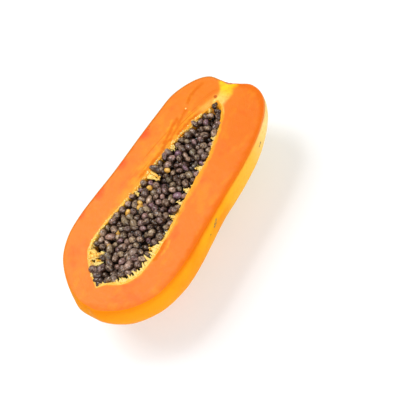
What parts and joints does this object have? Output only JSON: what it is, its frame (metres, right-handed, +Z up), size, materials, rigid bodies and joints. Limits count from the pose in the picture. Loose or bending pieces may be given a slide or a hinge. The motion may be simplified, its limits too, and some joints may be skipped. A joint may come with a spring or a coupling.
{
  "type": "papaya half",
  "caption": "Papaya cut lengthwise, lying on its skin with the level cut face up: thick orange flesh, a long pointed cavity with a thin yellow fringed lining, and a heap of dark round seeds.",
  "frame": {"origin": "on the surface the half lies on, under the middle of its outline", "axes": "+Z up, square to the level cut face; +X along the fruit toward the stem end; +Y toward the left rim of the cut face"},
  "size_m": [0.2474, 0.1192, 0.0701],
  "materials": {
    "flesh": "moist, slightly translucent orange fruit flesh",
    "skin": "thin, smooth, slightly waxy golden-yellow papaya skin, paler at the stem end",
    "lining": "soft moist pale yellow pith of the cavity wall, fibrous",
    "seed": "dark brown, wet and glossy, finely wrinkled"
  },
  "bodies": {
    "root": {"fruit_half": "flesh", "placenta": "lining", "seeds": "seed"}
  },
  "joints": []
}
